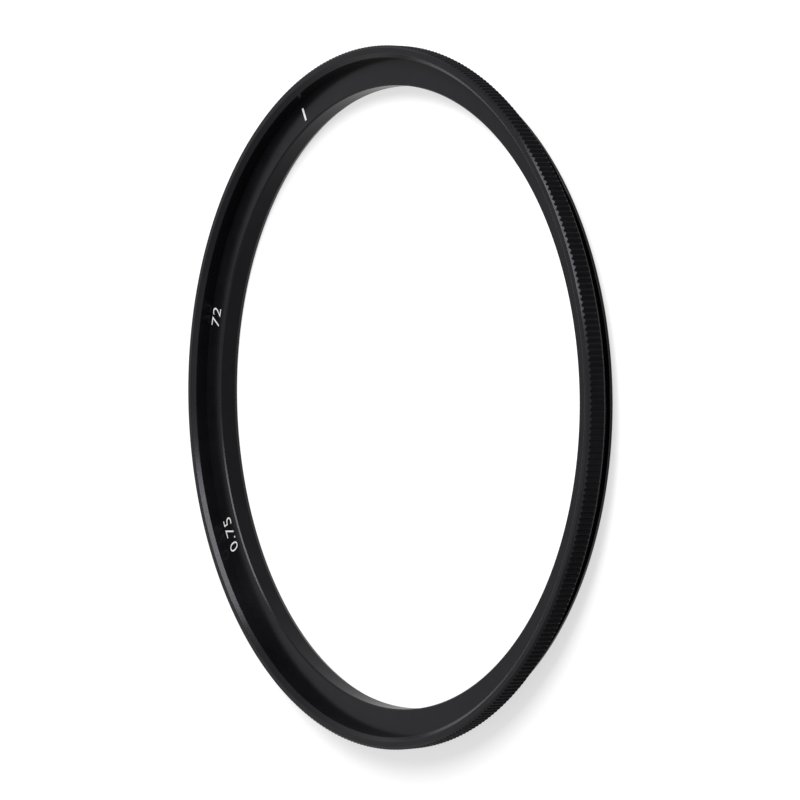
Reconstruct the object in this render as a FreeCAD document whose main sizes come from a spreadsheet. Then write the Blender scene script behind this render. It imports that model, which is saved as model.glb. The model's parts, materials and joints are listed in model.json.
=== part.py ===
import FreeCAD, Part
import os

import Sketcher

# Magnetic filter adapter ring for a 72 mm lens thread: one turned ring of magnetic steel.
# The origin is the centre of the rear end face, and +Z runs along the optical axis, out of the front.
# From the rear: a threaded boss, a knurled grip flange, and a recess whose floor seats the filter.

SIZES = [
    ("thread_diameter", 72.0, "outside of the lens thread"),
    ("thread_length", 1.88, "flange shoulder to rear end face"),
    ("thread_lead", 0.3, "lead-in of the lens thread, across"),
    ("thread_lead_length", 0.6, "lead-in of the lens thread, along the axis"),
    ("relief_width", 0.4, "run-out groove between thread and shoulder"),
    ("relief_depth", 0.45, "depth of the run-out groove"),
    ("recess_step", 0.25, "wall of the filter recess outside the lens thread"),
    ("seat_width", 2.9, "recess wall in to the clear aperture"),
    ("rim_width", 1.3, "recess wall out to the crests of the knurl"),
    ("bore_bevel", 0.25, "rear bevel of the aperture, across"),
    ("bore_bevel_length", 0.5, "rear bevel of the aperture, along the axis"),
    ("seat_bevel", 0.15, "bevel of the aperture at the filter seat"),
    ("flange_height", 2.48, "flange shoulder to front face"),
    ("recess_depth", 1.9, "front face to filter seat"),
    ("lip_bevel", 0.45, "bevel that leads the filter into the recess"),
    ("grip_front_chamfer", 0.28, "chamfer between knurl and front face"),
    ("grip_rear_chamfer", 0.65, "chamfer between knurl and shoulder"),
    ("tooth_count", 384, "teeth round the knurl"),
    ("groove_depth", 0.15, "depth of a knurl groove below the crests"),
    ("knurl_stock", 0.04, "metal above the crests that the knurling takes off"),
]

# Radii that several features share, as expressions of the sheet.
RECESS = "Sizes.thread_diameter / 2 + Sizes.recess_step"
GRIP = f"{RECESS} + Sizes.rim_width"


def make_sheet(doc):
    """Writes the driving sizes to a spreadsheet, one aliased cell each."""
    sheet = doc.addObject("Spreadsheet::Sheet", "Sizes")
    for row, (alias, value, meaning) in enumerate(SIZES, start=1):
        sheet.set(f"A{row}", alias)
        sheet.set(f"B{row}", str(value))
        sheet.set(f"C{row}", meaning)
        sheet.setAlias(f"B{row}", alias)
    doc.recompute()
    return sheet


def origin_feature(body, role):
    """Returns the body's own origin plane or axis with that role."""
    return next(item for item in body.Origin.OriginFeatures if item.Role == role)


def polygon_sketch(body, name, plane, corners):
    """Draws a closed outline whose corners are held at (across, along), each an expression of the sheet."""
    sketch = body.newObject("Sketcher::SketchObject", name)
    sketch.AttachmentSupport = [(origin_feature(body, plane), "")]
    sketch.MapMode = "FlatFace"
    points = []
    for across, along in corners:
        points.append(FreeCAD.Vector(sketch.evalExpression(across), sketch.evalExpression(along), 0))
    count = len(points)
    for index, start in enumerate(points):
        sketch.addGeometry(Part.LineSegment(start, points[(index + 1) % count]))
    for index, (across, along) in enumerate(corners):
        sketch.addConstraint(Sketcher.Constraint("Coincident", index, 2, (index + 1) % count, 1))
        place = sketch.addConstraint(Sketcher.Constraint("DistanceX", -1, 1, index, 1, points[index].x))
        sketch.setExpression(f"Constraints[{place}]", across)
        place = sketch.addConstraint(Sketcher.Constraint("DistanceY", -1, 1, index, 1, points[index].y))
        sketch.setExpression(f"Constraints[{place}]", along)
    return sketch


def turn_ring(body):
    """Revolves the ring's section: boss, flange, recess and aperture, with their bevels."""
    thread = "Sizes.thread_diameter / 2"
    relief = f"{thread} - Sizes.relief_depth"
    bore = f"{RECESS} - Sizes.seat_width"
    blank = f"{GRIP} + Sizes.knurl_stock"
    shoulder = "Sizes.thread_length"
    front = f"{shoulder} + Sizes.flange_height"
    seat = f"{front} - Sizes.recess_depth"
    section = polygon_sketch(body, "Section", "XZ_Plane", [
        (f"{bore} + Sizes.bore_bevel", "0"),
        (f"{thread} - Sizes.thread_lead", "0"),
        (thread, "Sizes.thread_lead_length"),
        (thread, f"{shoulder} - Sizes.relief_width"),
        (relief, f"{shoulder} - Sizes.relief_width"),
        (relief, shoulder),
        (f"{GRIP} - Sizes.grip_rear_chamfer", shoulder),
        (blank, f"{shoulder} + Sizes.grip_rear_chamfer + Sizes.knurl_stock"),
        (blank, f"{front} - Sizes.grip_front_chamfer - Sizes.knurl_stock"),
        (f"{GRIP} - Sizes.grip_front_chamfer", front),
        (f"{RECESS} + Sizes.lip_bevel", front),
        (RECESS, f"{front} - Sizes.lip_bevel"),
        (RECESS, seat),
        (f"{bore} + Sizes.seat_bevel", seat),
        (bore, f"{seat} - Sizes.seat_bevel"),
        (bore, "Sizes.bore_bevel_length"),
    ])
    ring = body.newObject("PartDesign::Revolution", "TurnedRing")
    ring.Profile = section
    ring.ReferenceAxis = (section, ["V_Axis"])
    ring.Angle = 360
    return ring


def cut_knurl(body):
    """Cuts one V groove along the grip and repeats it round the axis, so that neighbours meet in sharp crests."""
    crest = f"({GRIP})"
    half_pitch = "(180 deg / Sizes.tooth_count)"
    crest_height = f"(Sizes.groove_depth - {crest} * (1 - cos({half_pitch})))"
    flank_slope = f"{crest} * sin({half_pitch}) / {crest_height}"
    reach = "2 * Sizes.knurl_stock"
    half_width = f"(Sizes.groove_depth + {reach}) * {flank_slope}"
    outline = polygon_sketch(body, "GrooveOutline", "XY_Plane", [
        (f"{crest} - Sizes.groove_depth", "0"),
        (f"{crest} + {reach}", f"-{half_width}"),
        (f"{crest} + {reach}", half_width),
    ])
    groove = body.newObject("PartDesign::Pocket", "KnurlGroove")
    groove.Profile = outline
    groove.Type = "ThroughAll"
    groove.Reversed = True
    knurl = body.newObject("PartDesign::PolarPattern", "Knurl")
    knurl.Originals = [groove]
    knurl.Axis = (origin_feature(body, "Z_Axis"), [""])
    knurl.Angle = 360
    knurl.setExpression("Occurrences", "Sizes.tooth_count")
    body.Tip = knurl
    return knurl


def check_document(doc):
    """Stops if any feature failed to compute."""
    for item in doc.Objects:
        if {"Invalid", "Error"} & set(item.State):
            raise RuntimeError(f"{item.Label} did not compute: {item.State}")


def write_part(body):
    """Checks the finished body and writes it to its STEP file."""
    shape = body.Shape
    if shape.isNull() or not shape.isValid():
        raise RuntimeError(f"{body.Label} has no valid shape")
    os.makedirs("parts", exist_ok=True)
    shape.exportStep(f"parts/{body.Label}.step")
    print(body.Label, "solids", len(shape.Solids), "volume", round(shape.Volume, 2), shape.BoundBox)


def main():
    """Builds the ring and writes it."""
    doc = FreeCAD.newDocument("FilterAdapterRing")
    make_sheet(doc)
    body = doc.addObject("PartDesign::Body", "AdapterRing")
    body.Label = "adapter_ring"
    ring = turn_ring(body)
    doc.recompute()
    turned_volume = ring.Shape.Volume
    cut_knurl(body)
    doc.recompute()
    check_document(doc)
    if body.Shape.Volume >= turned_volume:
        raise RuntimeError("the knurl removed no material")
    write_part(body)


main()
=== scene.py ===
import json
import logging
import math
from collections.abc import Sequence
from dataclasses import dataclass
from enum import Enum

import bpy
import numpy as np
from mathutils import Matrix, Vector


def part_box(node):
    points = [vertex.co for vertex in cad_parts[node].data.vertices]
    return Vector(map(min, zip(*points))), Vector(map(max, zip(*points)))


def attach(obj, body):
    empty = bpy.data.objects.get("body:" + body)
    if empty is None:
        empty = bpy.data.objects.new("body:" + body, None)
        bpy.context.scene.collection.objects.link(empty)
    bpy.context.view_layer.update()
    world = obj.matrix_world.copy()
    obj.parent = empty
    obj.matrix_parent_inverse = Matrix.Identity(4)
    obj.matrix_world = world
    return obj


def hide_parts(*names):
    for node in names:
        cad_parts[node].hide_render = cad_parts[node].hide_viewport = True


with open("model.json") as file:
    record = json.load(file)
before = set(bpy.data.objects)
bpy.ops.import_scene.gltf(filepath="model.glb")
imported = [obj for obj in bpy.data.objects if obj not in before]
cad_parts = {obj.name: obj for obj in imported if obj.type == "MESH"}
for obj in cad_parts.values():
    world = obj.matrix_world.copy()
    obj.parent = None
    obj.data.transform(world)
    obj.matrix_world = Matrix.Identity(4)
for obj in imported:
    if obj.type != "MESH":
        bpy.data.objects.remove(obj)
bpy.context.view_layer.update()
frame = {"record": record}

# Looks of a 72 mm magnetic filter adapter ring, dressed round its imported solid.
# The row frame has the ring lying on its rear end: +Z runs out of the front, +X is up in the photograph.
# Sizes are in millimetres, and MM turns them into Blender's metres.

MM = 0.001
NODE = "adapter_ring"
BODY = "root"

Outline = list[tuple[float, float]]

log = logging.getLogger("filter_adapter_ring")


class RayKind(Enum):
    """Kinds of ray that see the plain white surroundings, by their Light Path output."""

    CAMERA = "Is Camera Ray"
    GLOSSY = "Is Glossy Ray"
    TRANSMISSION = "Is Transmission Ray"


class NodeSheet:
    """A node tree that is cleared and then filled by named calls."""

    def __init__(self, tree: bpy.types.NodeTree) -> None:
        """Empties the tree.

        Args:
            tree: the material's or world's node tree.
        """
        self.tree = tree
        tree.nodes.clear()

    def add(self, kind: str, **settings: object) -> bpy.types.Node:
        """Adds a node.

        Args:
            kind: Blender's name for the node.
            settings: node properties to set.

        Returns:
            The new node.
        """
        node = self.tree.nodes.new(kind)
        for key, value in settings.items():
            setattr(node, key, value)
        return node

    def link(self, source: bpy.types.NodeSocket, target: bpy.types.NodeSocket) -> None:
        """Joins an output to an input."""
        self.tree.links.new(source, target)

    def math(self, operation: str, first: object, second: object) -> bpy.types.NodeSocket:
        """Adds a math node.

        Args:
            operation: Blender's name for the operation.
            first: a socket or a number.
            second: a socket or a number.

        Returns:
            The node's output.
        """
        node = self.add("ShaderNodeMath", operation=operation)
        for socket, value in zip(node.inputs, (first, second)):
            if isinstance(value, bpy.types.NodeSocket):
                self.link(value, socket)
            else:
                socket.default_value = value
        return node.outputs[0]

    def noise(self, vector: bpy.types.NodeSocket, scale: float, detail: float) -> bpy.types.NodeSocket:
        """Adds a noise texture.

        Args:
            vector: where the noise is read.
            scale: features per metre.
            detail: octaves.

        Returns:
            The noise value, about 0 to 1.
        """
        node = self.add("ShaderNodeTexNoise")
        node.inputs["Scale"].default_value = scale
        node.inputs["Detail"].default_value = detail
        self.link(vector, node.inputs["Vector"])
        return node.outputs["Fac"]

    def spread(
        self, value: bpy.types.NodeSocket, low: float, high: float, ends: tuple[float, float] = (0.3, 0.7)
    ) -> bpy.types.NodeSocket:
        """Maps a value from between two ends to a range.

        Args:
            value: the value, by default a noise.
            low: result at the lower end and below it.
            high: result at the upper end and above it.
            ends: where the range starts and stops.

        Returns:
            The mapped value.
        """
        node = self.add("ShaderNodeMapRange")
        settings = {"From Min": ends[0], "From Max": ends[1], "To Min": low, "To Max": high}
        for name, setting in settings.items():
            node.inputs[name].default_value = setting
        self.link(value, node.inputs["Value"])
        return node.outputs["Result"]

    def mixed(
        self, share: bpy.types.NodeSocket, first: tuple[float, ...], second: tuple[float, ...]
    ) -> bpy.types.NodeSocket:
        """Mixes two colours.

        Args:
            share: how much of the second colour shows.
            first: linear colour at 0.
            second: linear colour at 1.

        Returns:
            The mixed colour.
        """
        node = self.add("ShaderNodeMix", data_type="RGBA")
        node.inputs[6].default_value = (*first, 1.0)
        node.inputs[7].default_value = (*second, 1.0)
        self.link(share, node.inputs[0])
        return node.outputs[2]

    def axis_distance(self, place: bpy.types.NodeSocket) -> bpy.types.NodeSocket:
        """Measures how far a place lies from the Z axis.

        Args:
            place: object coordinates.

        Returns:
            The distance.
        """
        flat = self.add("ShaderNodeVectorMath", operation="MULTIPLY")
        flat.inputs[1].default_value = (1.0, 1.0, 0.0)
        self.link(place, flat.inputs[0])
        length = self.add("ShaderNodeVectorMath", operation="LENGTH")
        self.link(flat.outputs["Vector"], length.inputs[0])
        return length.outputs["Value"]

    def seen_by(self, *rays: RayKind) -> bpy.types.NodeSocket:
        """Picks out rays by their kind.

        Args:
            rays: the kinds to pick.

        Returns:
            1 for rays of these kinds and 0 for others.
        """
        path = self.add("ShaderNodeLightPath")
        picked = path.outputs[rays[0].value]
        for ray in rays[1:]:
            picked = self.math("MAXIMUM", picked, path.outputs[ray.value])
        return picked


@dataclass(frozen=True)
class BlackCoat:
    """Satin black coating on turned steel: faint lathe lines under a fine grain."""

    name: str = "black_coat"
    dark: tuple[float, float, float] = (0.0030, 0.0029, 0.0036)
    light: tuple[float, float, float] = (0.0048, 0.0046, 0.0057)
    sheen: tuple[float, float, float] = (0.93, 0.91, 1.0)
    roughness: tuple[float, float] = (0.19, 0.27)
    specular: float = 0.13
    mottle_per_m: float = 420.0
    grain_per_m: float = 9000.0
    lathe_per_m: float = 5200.0
    grain_depth: float = 0.0025
    lathe_depth: float = 0.0015

    def make(self) -> bpy.types.Material:
        """Builds the material.

        Returns:
            The coating.
        """
        material = bpy.data.materials.new(self.name)
        material.use_nodes = True
        sheet = NodeSheet(material.node_tree)
        place = sheet.add("ShaderNodeTexCoord").outputs["Object"]
        grain = sheet.noise(place, self.grain_per_m, 2.0)
        lathe = sheet.noise(self.lathe_place(sheet, place), self.lathe_per_m, 2.0)
        surface = sheet.add("ShaderNodeBsdfPrincipled")
        mottle = sheet.spread(sheet.noise(place, self.mottle_per_m, 3.0), 0.0, 1.0)
        sheet.link(sheet.mixed(mottle, self.dark, self.light), surface.inputs["Base Color"])
        sheet.link(sheet.spread(grain, *self.roughness), surface.inputs["Roughness"])
        surface.inputs["Specular IOR Level"].default_value = self.specular
        surface.inputs["Specular Tint"].default_value = (*self.sheen, 1.0)
        height = sheet.math(
            "ADD",
            sheet.math("MULTIPLY", grain, self.grain_depth * MM),
            sheet.math("MULTIPLY", lathe, self.lathe_depth * MM),
        )
        bump = sheet.add("ShaderNodeBump")
        bump.inputs["Distance"].default_value = 1.0
        sheet.link(height, bump.inputs["Height"])
        sheet.link(bump.outputs["Normal"], surface.inputs["Normal"])
        output = sheet.add("ShaderNodeOutputMaterial")
        sheet.link(surface.outputs["BSDF"], output.inputs["Surface"])
        return material

    def lathe_place(self, sheet: NodeSheet, place: bpy.types.NodeSocket) -> bpy.types.NodeSocket:
        """Turns a place into its distance from the axis and its height, so that noise runs in rings.

        Args:
            sheet: the material's nodes.
            place: object coordinates.

        Returns:
            The ring coordinates.
        """
        split = sheet.add("ShaderNodeSeparateXYZ")
        sheet.link(place, split.inputs[0])
        joined = sheet.add("ShaderNodeCombineXYZ")
        sheet.link(sheet.axis_distance(place), joined.inputs["X"])
        sheet.link(split.outputs["Z"], joined.inputs["Y"])
        return joined.outputs["Vector"]


@dataclass(frozen=True)
class WhiteInk:
    """Matt white screen print, slightly uneven in cover."""

    name: str = "white_ink"
    thin: tuple[float, float, float] = (0.50, 0.50, 0.50)
    full: tuple[float, float, float] = (0.78, 0.78, 0.77)
    roughness: float = 0.6
    specular: float = 0.25
    cover_per_m: float = 7000.0
    cover: tuple[float, float] = (0.2, 1.0)

    def make(self) -> bpy.types.Material:
        """Builds the material.

        Returns:
            The ink.
        """
        material = bpy.data.materials.new(self.name)
        material.use_nodes = True
        sheet = NodeSheet(material.node_tree)
        place = sheet.add("ShaderNodeTexCoord").outputs["Object"]
        cover = sheet.spread(sheet.noise(place, self.cover_per_m, 3.0), *self.cover)
        surface = sheet.add("ShaderNodeBsdfPrincipled")
        sheet.link(sheet.mixed(cover, self.thin, self.full), surface.inputs["Base Color"])
        surface.inputs["Roughness"].default_value = self.roughness
        surface.inputs["Specular IOR Level"].default_value = self.specular
        output = sheet.add("ShaderNodeOutputMaterial")
        sheet.link(surface.outputs["BSDF"], output.inputs["Surface"])
        return material


@dataclass(frozen=True)
class RingSizes:
    """Sizes of the ring in millimetres: radii, heights above the rear end, and small forms."""

    thread: float
    lead_height: float
    relief_height: float
    recess: float
    seat: float
    lip_bevel: float
    crest: float
    front: float
    thread_lead: float = 0.3
    thread_depth: float = 0.42
    thread_pitch: float = 0.75
    thread_start: float = 0.35
    relief_depth: float = 0.45
    relief_width: float = 0.4
    seat_width: float = 2.9
    seat_bevel: float = 0.15
    bore_bevel: float = 0.25
    bore_bevel_length: float = 0.5
    front_chamfer: float = 0.28
    rear_chamfer: float = 0.65
    groove_depth: float = 0.15
    teeth: int = 384

    @classmethod
    def from_frame(cls, record: dict) -> "RingSizes":
        """Reads what the frame gives.

        Args:
            record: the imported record.

        Returns:
            The ring's sizes.
        """
        mounts = {mount["name"]: mount for mount in record["mounts"]}
        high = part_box(NODE)[1] / MM
        thread = mounts["lens_thread"]
        recess = mounts["filter_recess"]
        thread_middle = thread["pos_m"][2] / MM
        thread_half = thread["dims"]["length_mm"] / 2
        seat = mounts["filter_seat"]["pos_m"][2] / MM
        return cls(
            thread=thread["dims"]["r_mm"],
            lead_height=thread_middle - thread_half,
            relief_height=thread_middle + thread_half,
            recess=recess["dims"]["r_mm"],
            seat=seat,
            lip_bevel=high.z - seat - recess["dims"]["length_mm"],
            crest=high.y,
            front=high.z,
        )

    @property
    def bore(self) -> float:
        """Radius of the clear aperture."""
        return self.recess - self.seat_width

    @property
    def shoulder(self) -> float:
        """Height of the flange's rear face."""
        return self.relief_height + self.relief_width

    @property
    def relief(self) -> float:
        """Radius at the bottom of the thread's run-out groove."""
        return self.thread - self.relief_depth


class Section:
    """Outlines in the plane of radius and height."""

    @staticmethod
    def rounded(points: Outline, radii: Sequence[float], steps: int = 4, support: float = 1.6) -> Outline:
        """Rounds each inner corner of an open outline.

        Each arc has a support point just outside its ends, which keeps the flats flat under smooth shading.

        Args:
            points: the outline, with sharp corners.
            radii: of the arcs, one to each inner corner.
            steps: straight steps along an arc.
            support: the support points' distance from the corner, as a multiple of the arc's.

        Returns:
            The outline with arcs.
        """
        result = [points[0]]
        for before, corner, after, radius in zip(points, points[1:], points[2:], radii, strict=False):
            here = np.array(corner)
            back = np.array(before) - here
            ahead = np.array(after) - here
            back /= np.linalg.norm(back)
            ahead /= np.linalg.norm(ahead)
            half_turn = (math.pi - math.acos(float(np.clip(back @ ahead, -1, 1)))) / 2
            reach = radius * math.tan(half_turn)
            result.append(tuple(here + back * support * reach))
            for step in range(steps + 1):
                share = step / steps
                bow = here + back * reach * (1 - share) ** 2 + ahead * reach * share**2
                result.append(tuple(bow))
            result.append(tuple(here + ahead * support * reach))
        result.append(points[-1])
        return result


@dataclass
class RingBody:
    """The turned and knurled ring, as one closed mesh of rows that run round the axis."""

    sizes: RingSizes
    coat: BlackCoat
    name: str = "ring_body"
    edge: float = 0.05
    lip_edges: tuple[float, float] = (0.10, 0.10)
    front_edge: float = 0.12
    tooth_edge: float = 0.015
    crest_land: float = 0.04
    crest_round: float = 0.03
    crest_drop: float = 0.01
    valley_land: float = 0.008
    flank_points: tuple[float, ...] = (0.0, 0.12, 0.88, 1.0)
    rear_edge_reach: float = 0.3
    front_edge_reach: float = 0.2
    shoulder_reach: float = 0.25
    thread_rows: int = 48
    sharp_deg: float = 32.0

    def build(self) -> bpy.types.Object:
        """Makes the mesh, dresses it and sets it in the frame.

        Returns:
            The ring's object.
        """
        rows = [*self.grip_rows(), *self.inner_rows(), *self.thread_surface(), *self.relief_rows()]
        mesh = bpy.data.meshes.new(self.name)
        mesh.from_pydata((np.concatenate(rows) * MM).tolist(), [], self.woven(rows))
        mesh.validate()
        mesh.shade_smooth()
        mesh.set_sharp_from_angle(angle=math.radians(self.sharp_deg))
        mesh.materials.append(self.coat.make())
        ring = bpy.data.objects.new(self.name, mesh)
        bpy.context.scene.collection.objects.link(ring)
        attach(ring, BODY)
        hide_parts(NODE)
        return ring

    def turned_angles(self) -> np.ndarray:
        """Returns the angles of a turned row, one to each knurl valley."""
        return np.arange(self.sizes.teeth) * (2 * math.pi / self.sizes.teeth)

    def tooth(self) -> tuple[np.ndarray, np.ndarray]:
        """Draws one tooth from valley to valley.

        Support points near the ends of each flank keep it flat under smooth shading.

        Returns:
            Angles from the valley's middle, and the radius at each.
        """
        s = self.sizes
        valley = self.valley_land / s.crest
        land = math.pi / s.teeth - self.crest_land / s.crest
        shoulder = land - self.crest_round / s.crest
        flank = np.array(self.flank_points)
        low = s.crest - s.groove_depth
        high = s.crest - self.crest_drop
        angles = np.append(valley + flank * (shoulder - valley), land)
        radii = np.append(low + flank * (high - low), s.crest)
        pitch = 2 * math.pi / s.teeth
        return np.append(angles, pitch - angles[::-1]), np.append(radii, radii[::-1])

    @staticmethod
    def row(angles: np.ndarray, radius: np.ndarray | float, height: np.ndarray | float) -> np.ndarray:
        """Places one row of points.

        Args:
            angles: round the axis, in radians.
            radius: one for all, or one for each angle.
            height: one for all, or one for each angle.

        Returns:
            The points, in millimetres.
        """
        return np.column_stack([
            radius * np.cos(angles),
            radius * np.sin(angles),
            np.broadcast_to(height, angles.shape),
        ])

    def grip_rows(self) -> list[np.ndarray]:
        """Draws the grip, from the shoulder over the knurl to the front face.

        Both chamfers are cones, so a row lies where each cone meets the knurl's own radius at that angle.

        Returns:
            The rows of points.
        """
        s = self.sizes
        turned = self.turned_angles()
        tooth_angles, tooth_radii = self.tooth()
        angles = (turned[:, None] + tooth_angles[None, :]).ravel()
        knurl = np.tile(tooth_radii, s.teeth)
        rear_start = s.crest - s.rear_chamfer
        front_start = s.crest - s.front_chamfer
        rear_meet = s.shoulder + (knurl - rear_start)
        front_meet = s.front - (knurl - front_start)
        e = self.tooth_edge
        rear = self.rear_edge_reach
        shoulder_edge = Section.rounded([
            (rear_start - rear, s.shoulder),
            (rear_start, s.shoulder),
            (rear_start + rear, s.shoulder + rear),
        ], [self.edge])
        rows = [self.row(turned, radius, height) for radius, height in shoulder_edge]
        for step in (-3 * e, -e):
            rows.append(self.row(angles, knurl + step, rear_meet + step))
        for height in (rear_meet + e, rear_meet + 3 * e, front_meet - 3 * e, front_meet - e):
            rows.append(self.row(angles, knurl, height))
        for step in (e, 3 * e):
            rows.append(self.row(angles, knurl - step, front_meet + step))
        ahead = self.front_edge_reach
        front_edge = Section.rounded([
            (front_start + ahead, s.front - ahead),
            (front_start, s.front),
            (front_start - ahead, s.front),
        ], [self.front_edge])
        rows += [self.row(turned, radius, height) for radius, height in front_edge[1:-1]]
        return rows

    def inner_rows(self) -> list[np.ndarray]:
        """Draws the inside, from the front face over the lip, recess, seat and aperture to the rear end.

        Returns:
            The rows of points.
        """
        s = self.sizes
        lip = s.recess + s.lip_bevel
        flat_middle = (lip + s.crest - s.front_chamfer) / 2
        inner_corner = (s.recess, s.seat)
        lip_outline = Section.rounded([
            (flat_middle, s.front),
            (lip, s.front),
            (s.recess, s.front - s.lip_bevel),
            inner_corner,
        ], self.lip_edges)
        aperture_outline = Section.rounded([
            inner_corner,
            (s.bore + s.seat_bevel, s.seat),
            (s.bore, s.seat - s.seat_bevel),
            (s.bore, s.bore_bevel_length),
            (s.bore + s.bore_bevel, 0.0),
            ((s.bore + s.thread) / 2, 0.0),
        ], [self.edge] * 4)
        angles = self.turned_angles()
        return [self.row(angles, radius, height) for radius, height in lip_outline + aperture_outline[1:]]

    def thread_surface(self) -> list[np.ndarray]:
        """Draws the lens thread, a right-hand 60 degree helix under a lead-in cone.

        Returns:
            The rows of points.
        """
        s = self.sizes
        angles = self.turned_angles()
        crest_half = s.thread_pitch / 16
        flank_slope = 1 / math.tan(math.radians(30))
        rows = []
        for height in np.linspace(0.0, s.relief_height, self.thread_rows):
            turns = height / s.thread_pitch - angles / (2 * math.pi) - s.thread_start
            from_crest = np.abs(turns % 1.0 - 0.5) * s.thread_pitch
            deepest = s.thread_depth * min(1.0, height / s.lead_height)
            depth = np.clip((from_crest - crest_half) * flank_slope, 0.0, deepest)
            lead = s.thread - s.thread_lead * (1 - height / s.lead_height)
            rows.append(self.row(angles, np.minimum(s.thread - depth, lead), height))
        return rows

    def relief_rows(self) -> list[np.ndarray]:
        """Draws the run-out groove and the inner half of the shoulder.

        Returns:
            The rows of points.
        """
        s = self.sizes
        outline = Section.rounded([
            (s.relief, s.relief_height),
            (s.relief, s.shoulder),
            (s.thread + self.shoulder_reach, s.shoulder),
        ], [self.edge])
        angles = self.turned_angles()
        return [self.row(angles, radius, height) for radius, height in outline]

    @staticmethod
    def woven(rows: list[np.ndarray]) -> list[list[int]]:
        """Joins each row to the next and the last to the first.

        Where one row has several points to each point of its neighbour, one many-sided face takes them all.

        Args:
            rows: rows of points, each closed round the axis.

        Returns:
            The faces, as point numbers.
        """
        starts = np.concatenate([[0], np.cumsum([len(row) for row in rows])])
        faces = []
        for index, row in enumerate(rows):
            following = (index + 1) % len(rows)
            here = int(starts[index])
            there = int(starts[following])
            count = len(row)
            next_count = len(rows[following])
            steps = min(count, next_count)
            here_share = count // steps
            there_share = next_count // steps
            for step in range(steps):
                face = [here + (step * here_share + k) % count for k in range(here_share + 1)]
                face += [there + (step * there_share + k) % next_count for k in range(there_share, -1, -1)]
                faces.append(face)
        return faces


@dataclass(frozen=True)
class MarkPlace:
    """Where a printed mark lies on the filter seat: its middle, and its size along the radius."""

    angle_deg: float
    radius: float
    height: float


@dataclass
class SeatPrint:
    """White marks on the filter seat, their tops outward, read clockwise from the front."""

    sizes: RingSizes
    ink: WhiteInk
    thickness: float = 0.012
    sink: float = 0.004
    tick_width: float = 0.3
    thinner: float = -0.012
    spacing: float = 1.05

    def build(self) -> list[bpy.types.Object]:
        """Makes the size, the pitch and the index tick.

        Returns:
            The marks' objects.
        """
        material = self.ink.make()
        marks = [
            self.number("size_mark", "72", MarkPlace(74.7, 35.2, 1.6)),
            self.number("pitch_mark", "0.75", MarkPlace(116.4, 35.2, 1.6)),
            self.tick("index_tick", MarkPlace(25.9, 34.8, 1.5)),
        ]
        for mark in marks:
            mark.data.materials.append(material)
            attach(mark, BODY)
        return marks

    def number(self, name: str, text: str, place: MarkPlace) -> bpy.types.Object:
        """Makes a number from the built-in font, bent round the axis.

        Args:
            name: the piece's name.
            text: its digits.
            place: where it lies.

        Returns:
            The mark.
        """
        curve = bpy.data.curves.new(name + "_text", "FONT")
        curve.body = text
        curve.extrude = 0.5
        curve.offset = self.thinner
        curve.space_character = self.spacing
        curve.resolution_u = 6
        writer = bpy.data.objects.new(name + "_text", curve)
        bpy.context.scene.collection.objects.link(writer)
        graph = bpy.context.evaluated_depsgraph_get()
        mesh = bpy.data.meshes.new_from_object(writer.evaluated_get(graph))
        bpy.data.objects.remove(writer)
        mesh.materials.clear()
        points = np.array([vertex.co for vertex in mesh.vertices])
        low = points.min(0)
        high = points.max(0)
        scale = place.height / (high[1] - low[1])
        flat = (points[:, :2] - (low + high)[:2] / 2) * scale
        return self.laid(name, mesh, flat, points[:, 2] > 0, place)

    def tick(self, name: str, place: MarkPlace) -> bpy.types.Object:
        """Makes a short bar along the radius.

        Args:
            name: the piece's name.
            place: where it lies.

        Returns:
            The mark.
        """
        half = np.array([self.tick_width, place.height]) / 2
        corners = np.array([(-1, -1), (1, -1), (1, 1), (-1, 1)]) * half
        flat = np.concatenate([corners, corners])
        top = np.repeat([False, True], 4)
        sides = [[k, (k + 1) % 4, (k + 1) % 4 + 4, k + 4] for k in range(4)]
        mesh = bpy.data.meshes.new(name)
        mesh.from_pydata([(x, y, 0.0) for x, y in flat], [], [[3, 2, 1, 0], [4, 5, 6, 7], *sides])
        return self.laid(name, mesh, flat, top, place)

    def laid(
        self, name: str, mesh: bpy.types.Mesh, flat: np.ndarray, top: np.ndarray, place: MarkPlace
    ) -> bpy.types.Object:
        """Bends a flat mark round the axis and lays it on the seat.

        Args:
            name: the piece's name.
            mesh: the mark's mesh.
            flat: its points in millimetres from its middle, along and up.
            top: which points are on the print's upper side.
            place: where it lies.

        Returns:
            The mark.
        """
        radius = place.radius + flat[:, 1]
        angle = math.radians(place.angle_deg) - flat[:, 0] / place.radius
        height = self.sizes.seat + np.where(top, self.thickness, -self.sink)
        points = np.column_stack([radius * np.cos(angle), radius * np.sin(angle), height]) * MM
        mesh.vertices.foreach_set("co", points.astype(np.float32).ravel())
        mesh.update()
        mark = bpy.data.objects.new(name, mesh)
        bpy.context.scene.collection.objects.link(mark)
        return mark


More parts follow.
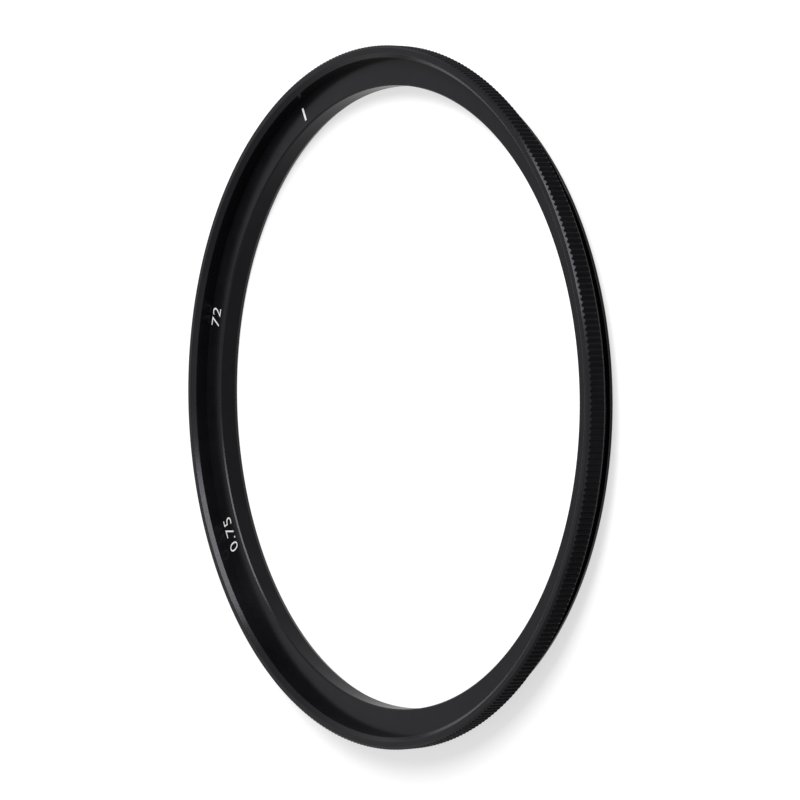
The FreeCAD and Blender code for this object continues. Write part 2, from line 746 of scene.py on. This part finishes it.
@dataclass(frozen=True)
class Floor:
    """A white floor under the ring: plain white to the eye, but it keeps the ring's shadow.

    Reflections see it instead as a painted reflection: a glow at two set levels that takes no shadow,
    brighter inside the ring and darker outside, which change over under the ring. The darker outer level is
    painted shade in the reflections of the grip and the thread.
    """

    name: str = "floor"
    half_size: float = 4.0
    drop: float = 0.00002
    paint: float = 0.42
    glow: tuple[float, float] = (0.64, 1.0)
    glow_rise: tuple[float, float] = (0.08, 0.5)
    # painted reflection: the glow that reflections see inside the ring and outside it, darker outside
    painted_reflection: tuple[float, float] = (0.75, 0.34)
    painted_reflection_change: tuple[float, float] = (0.0335, 0.0360)

    def build(self) -> bpy.types.Object:
        """Makes the floor.

        Returns:
            The floor's object.
        """
        h = self.half_size
        z = -self.drop
        mesh = bpy.data.meshes.new(self.name)
        mesh.from_pydata([(-h, -h, z), (h, -h, z), (h, h, z), (-h, h, z)], [], [[0, 1, 2, 3]])
        mesh.materials.append(self.white())
        floor = bpy.data.objects.new(self.name, mesh)
        bpy.context.scene.collection.objects.link(floor)
        return floor

    def white(self) -> bpy.types.Material:
        """Makes white paint that takes shadow, with a share of plain white for the camera.

        The share rises with distance, where the lamps no longer reach. Glossy and transmission rays see a
        painted reflection in its place: a glow at two set levels, darker outside the ring.

        Returns:
            The floor's material.
        """
        material = bpy.data.materials.new("white_floor")
        material.use_nodes = True
        sheet = NodeSheet(material.node_tree)
        paint = sheet.add("ShaderNodeBsdfDiffuse")
        paint.inputs["Color"].default_value = (self.paint, self.paint, self.paint, 1.0)
        distance = sheet.axis_distance(sheet.add("ShaderNodeTexCoord").outputs["Object"])
        share = sheet.spread(distance, *self.glow, self.glow_rise)
        glow = sheet.add("ShaderNodeEmission")
        sheet.link(sheet.math("MULTIPLY", sheet.seen_by(RayKind.CAMERA), share), glow.inputs["Strength"])
        both = sheet.add("ShaderNodeAddShader")
        sheet.link(paint.outputs[0], both.inputs[0])
        sheet.link(glow.outputs[0], both.inputs[1])
        # painted reflection: glossy and transmission rays see this set glow, not the lit paint, so it takes
        # no shadow and is darker outside the ring
        painted_reflection = sheet.add("ShaderNodeEmission")
        sheet.link(sheet.spread(distance, *self.painted_reflection, self.painted_reflection_change), painted_reflection.inputs["Strength"])
        seen = sheet.add("ShaderNodeMixShader")
        sheet.link(sheet.seen_by(RayKind.GLOSSY, RayKind.TRANSMISSION), seen.inputs[0])
        sheet.link(both.outputs[0], seen.inputs[1])
        sheet.link(painted_reflection.outputs[0], seen.inputs[2])
        output = sheet.add("ShaderNodeOutputMaterial")
        sheet.link(seen.outputs[0], output.inputs["Surface"])
        return material


@dataclass(frozen=True)
class Softbox:
    """A rectangular area light that faces the ring."""

    name: str
    place: tuple[float, float, float]
    along: tuple[float, float, float]
    length: float
    width: float
    radiance: float

    def build(self) -> bpy.types.Object:
        """Makes the light.

        Returns:
            The light's object.
        """
        light = bpy.data.lights.new(self.name, "AREA")
        light.shape = "RECTANGLE"
        light.size = self.length
        light.size_y = self.width
        light.energy = self.radiance * 4 * self.width * self.length
        lamp = bpy.data.objects.new(self.name, light)
        back = Vector(self.place).normalized()
        side = back.cross(Vector(self.along)).normalized()
        turn = Matrix((side.cross(back), side, back)).transposed()
        lamp.matrix_world = Matrix.Translation(self.place) @ turn.to_4x4()
        lamp.visible_camera = False
        bpy.context.scene.collection.objects.link(lamp)
        return lamp


@dataclass(frozen=True)
class Studio:
    """The floor, the white surroundings and the lights."""

    floor: Floor
    boxes: tuple[Softbox, ...]
    surround: float = 0.18

    def build(self) -> None:
        """Sets the stage and the view settings."""
        self.floor.build()
        for box in self.boxes:
            box.build()
        world = bpy.data.worlds.new("white_room")
        bpy.context.scene.world = world
        world.use_nodes = True
        sheet = NodeSheet(world.node_tree)
        strength = sheet.add("ShaderNodeMapRange")
        strength.inputs["To Min"].default_value = self.surround
        sheet.link(sheet.seen_by(*RayKind), strength.inputs["Value"])
        background = sheet.add("ShaderNodeBackground")
        background.inputs["Color"].default_value = (1.0, 1.0, 1.0, 1.0)
        sheet.link(strength.outputs["Result"], background.inputs["Strength"])
        output = sheet.add("ShaderNodeOutputWorld")
        sheet.link(background.outputs[0], output.inputs["Surface"])
        bpy.context.scene.view_settings.view_transform = "Standard"


@dataclass(frozen=True)
class PhotoCamera:
    """The photograph's camera, found by fitting the section's circles to the edges in the photograph."""

    location: tuple[float, float, float] = (3.215, -316.647, 223.649)
    back: tuple[float, float, float] = (0.0090331, -0.8176616, 0.5756283)
    up: tuple[float, float, float] = (0.9998769, 0.0, -0.0156907)
    lens: float = 162.24
    sensor_width: float = 36.0
    clip_start: float = 0.01

    def build(self) -> bpy.types.Object:
        """Makes the camera and gives it to the scene.

        Returns:
            The camera's object.
        """
        data = bpy.data.cameras.new("photo_camera")
        data.sensor_width = self.sensor_width
        data.lens = self.lens
        data.clip_start = self.clip_start
        camera = bpy.data.objects.new("photo_camera", data)
        bpy.context.scene.collection.objects.link(camera)
        back = Vector(self.back).normalized()
        right = Vector(self.up).cross(back).normalized()
        turn = Matrix((right, back.cross(right), back)).transposed()
        camera.matrix_world = Matrix.Translation(Vector(self.location) * MM) @ turn.to_4x4()
        bpy.context.scene.camera = camera
        return camera


def main() -> None:
    """Builds the ring, its print, the studio and the camera."""
    logging.basicConfig(level=logging.INFO, format="%(name)s: %(message)s")
    sizes = RingSizes.from_frame(frame["record"])
    pieces = [RingBody(sizes, BlackCoat()).build(), *SeatPrint(sizes, WhiteInk()).build()]
    for piece in pieces:
        log.info("%s has %d faces", piece.name, len(piece.data.polygons))
    key = Softbox("key_box", (0.258, -0.144, 0.342), (0.513, 0.456, -0.178), 0.32, 0.15, 15.0)
    front = Softbox("front_box", (-0.05, -0.27, 0.36), (1.0, 0.0, 0.0), 0.5, 0.22, 0.7)
    Studio(Floor(), (key, front)).build()
    PhotoCamera().build()


if __name__ == "__main__":
    main()
